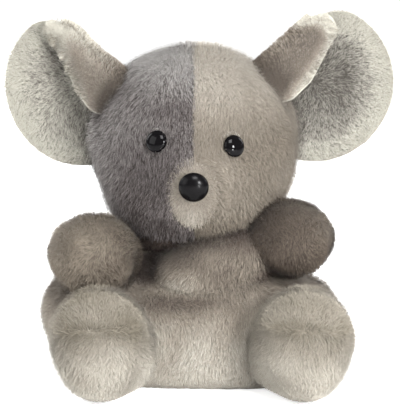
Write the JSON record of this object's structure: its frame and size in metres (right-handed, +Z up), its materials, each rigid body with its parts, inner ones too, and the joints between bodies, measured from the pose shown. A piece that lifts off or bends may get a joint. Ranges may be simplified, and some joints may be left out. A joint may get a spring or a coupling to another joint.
{
  "type": "plush mouse",
  "caption": "Palm-size plush mouse that sits on a slumped bean bag, with large folded ears, stub arms and round feet that give at their seams.",
  "frame": {"origin": "middle of the flat base that the bag sits on, at floor height", "axes": "+Z up, the face looks along -Y, the mouse's own left is +X, the tail runs out along +Y"},
  "size_m": [0.1269, 0.1353, 0.1266],
  "materials": {
    "body_plush": "warm grey plush, 5 mm pile brushed down, pale at the tips",
    "head_plush_light": "warm light grey plush, 4 mm pile",
    "head_plush_dark": "cool mid grey plush, 4 mm pile brushed the other way",
    "muzzle_plush": "light warm grey plush, short pile",
    "ear_back_plush": "brownish grey plush, 4 mm pile",
    "ear_lining_plush": "pale silvery short plush",
    "arm_plush": "brown grey plush, 3 mm pile",
    "foot_plush": "pale warm plush, 4 mm pile",
    "tail_plush": "brown grey plush, 2 mm pile",
    "filling": "white polyester fibre",
    "pouch_cloth": "plain woven cotton",
    "beans": "loose plastic pellets",
    "seam_thread": "bunched polyester thread",
    "eye_plastic": "polished black",
    "nose_plastic": "satin black",
    "washer_plastic": "plain white moulding"
  },
  "bodies": {
    "body": {"body_front_panel": "body_plush", "body_back_panel": "body_plush", "base_panel": "body_plush", "body_stuffing": "filling", "bean_pouch": "pouch_cloth", "bean_fill": "beans"},
    "neck": {"neck_stuffing": "filling", "neck_thread": "seam_thread"},
    "head": {"muzzle_panel": "muzzle_plush", "head_panel_left": "head_plush_light", "head_panel_right": "head_plush_dark", "head_stuffing": "filling", "eye_left": "eye_plastic", "eye_washer_left": "washer_plastic", "eye_right": "eye_plastic", "eye_washer_right": "washer_plastic", "nose": "nose_plastic", "nose_washer": "washer_plastic"},
    "ear_left": {"ear_lining_left": "ear_lining_plush", "ear_back_left": "ear_back_plush"},
    "ear_right": {"ear_lining_right": "ear_lining_plush", "ear_back_right": "ear_back_plush"},
    "arm_left": {"arm_skin_left": "arm_plush", "arm_stuffing_left": "filling"},
    "arm_right": {"arm_skin_right": "arm_plush", "arm_stuffing_right": "filling"},
    "foot_left": {"foot_sole_left": "foot_plush", "foot_upper_left": "foot_plush", "foot_stuffing_left": "filling"},
    "foot_right": {"foot_sole_right": "foot_plush", "foot_upper_right": "foot_plush", "foot_stuffing_right": "filling"},
    "tail": {"tail": "tail_plush"}
  },
  "joints": [
    {"name": "head_turn", "type": "hinge", "parent": "body", "child": "neck", "pos_m": [0, 0.004, 0.0483], "axis": [0, 0, 1], "range_deg": [-20, 20], "stiffness_Nm_per_rad": 0.03},
    {"name": "head_nod", "type": "hinge", "parent": "neck", "child": "head", "pos_m": [0, 0.004, 0.0483], "axis": [1, 0, 0], "range_deg": [-8, 8], "stiffness_Nm_per_rad": 0.15},
    {"name": "ear_left_flop", "type": "hinge", "parent": "head", "child": "ear_left", "pos_m": [0.02746, 0.007, 0.09014], "axis": [-0.399, 0, 0.917], "range_deg": [-15, 15], "stiffness_Nm_per_rad": 0.01},
    {"name": "ear_right_flop", "type": "hinge", "parent": "head", "child": "ear_right", "pos_m": [-0.02746, 0.007, 0.09014], "axis": [0.399, 0, 0.917], "range_deg": [-15, 15], "stiffness_Nm_per_rad": 0.01},
    {"name": "arm_left_swing", "type": "hinge", "parent": "body", "child": "arm_left", "pos_m": [0.02258, -0.00813, 0.03718], "axis": [0, -1, 0], "range_deg": [-10, 4], "stiffness_Nm_per_rad": 0.03},
    {"name": "arm_right_swing", "type": "hinge", "parent": "body", "child": "arm_right", "pos_m": [-0.0235, -0.00863, 0.03679], "axis": [0, 1, 0], "range_deg": [-10, 4], "stiffness_Nm_per_rad": 0.03},
    {"name": "foot_left_splay", "type": "hinge", "parent": "body", "child": "foot_left", "pos_m": [0.02633, -0.02697, 0.0179], "axis": [0, 0, 1], "range_deg": [-8, 8], "stiffness_Nm_per_rad": 0.04},
    {"name": "foot_right_splay", "type": "hinge", "parent": "body", "child": "foot_right", "pos_m": [-0.02382, -0.02776, 0.01782], "axis": [0, 0, 1], "range_deg": [-8, 8], "stiffness_Nm_per_rad": 0.04},
    {"name": "tail_swing", "type": "hinge", "parent": "body", "child": "tail", "pos_m": [0, 0.03554, 0.0039], "axis": [0, 0, 1], "range_deg": [-30, 30], "stiffness_Nm_per_rad": 0.004}
  ]
}
